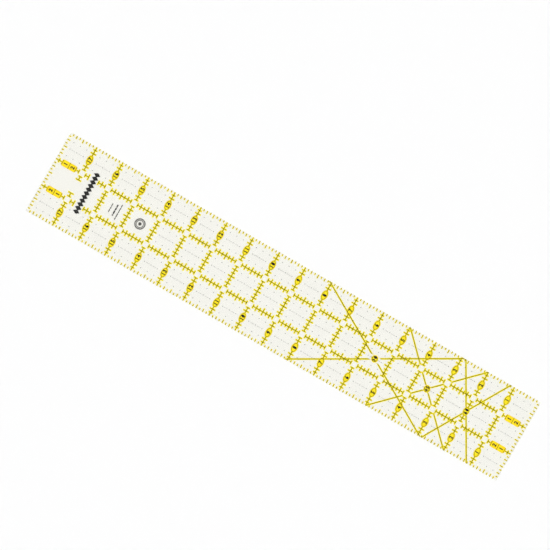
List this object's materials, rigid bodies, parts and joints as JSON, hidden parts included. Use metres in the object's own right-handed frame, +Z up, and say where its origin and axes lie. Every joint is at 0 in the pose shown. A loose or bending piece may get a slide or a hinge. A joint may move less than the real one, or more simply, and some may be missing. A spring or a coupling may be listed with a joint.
{
  "type": "quilting ruler",
  "caption": "Long clear acrylic straight-edge for cutting fabric, with an inch grid, edge scales, yellow number ovals and crossing angle lines printed on its underside.",
  "frame": {"origin": "middle of the underside, on the surface that the ruler rests on", "axes": "+X along the length towards the end where the numbers start, +Y across the width to the far long edge, +Z up through the thickness"},
  "size_m": [0.4572, 0.0762, 0.0032],
  "materials": {
    "clear_acrylic": "polished clear sheet, slightly brighter at its cut edges",
    "highlight_ink": "thin translucent yellow screen ink",
    "label_ink": "opaque deep yellow screen ink",
    "line_ink": "opaque black screen ink",
    "ornament_ink": "opaque black screen ink",
    "stamp_ink": "thin grey screen ink"
  },
  "bodies": {
    "root": {"acrylic_plate": "clear_acrylic", "angle_label_30": "label_ink", "angle_label_45": "label_ink", "angle_label_60": "label_ink", "end_label_left_far": "label_ink", "end_label_left_near": "label_ink", "end_label_right_far": "label_ink", "end_label_right_near": "label_ink", "highlight_print": "highlight_ink", "line_print": "line_ink", "line_print_far_left": "line_ink", "line_print_near_left": "line_ink", "number_label_far_01": "label_ink", "number_label_far_02": "label_ink", "number_label_far_03": "label_ink", "number_label_far_04": "label_ink", "number_label_far_05": "label_ink", "number_label_far_06": "label_ink", "number_label_far_07": "label_ink", "number_label_far_08": "label_ink", "number_label_far_09": "label_ink", "number_label_far_10": "label_ink", "number_label_far_11": "label_ink", "number_label_far_12": "label_ink", "number_label_far_13": "label_ink", "number_label_far_14": "label_ink", "number_label_far_15": "label_ink", "number_label_far_16": "label_ink", "number_label_far_17": "label_ink", "number_label_near_01": "label_ink", "number_label_near_02": "label_ink", "number_label_near_03": "label_ink", "number_label_near_04": "label_ink", "number_label_near_05": "label_ink", "number_label_near_06": "label_ink", "number_label_near_07": "label_ink", "number_label_near_08": "label_ink", "number_label_near_09": "label_ink", "number_label_near_10": "label_ink", "number_label_near_11": "label_ink", "number_label_near_12": "label_ink", "number_label_near_13": "label_ink", "number_label_near_14": "label_ink", "number_label_near_15": "label_ink", "number_label_near_16": "label_ink", "number_label_near_17": "label_ink", "ornament_band": "ornament_ink", "stamp_ring": "stamp_ink", "stamp_star": "stamp_ink"}
  },
  "joints": []
}
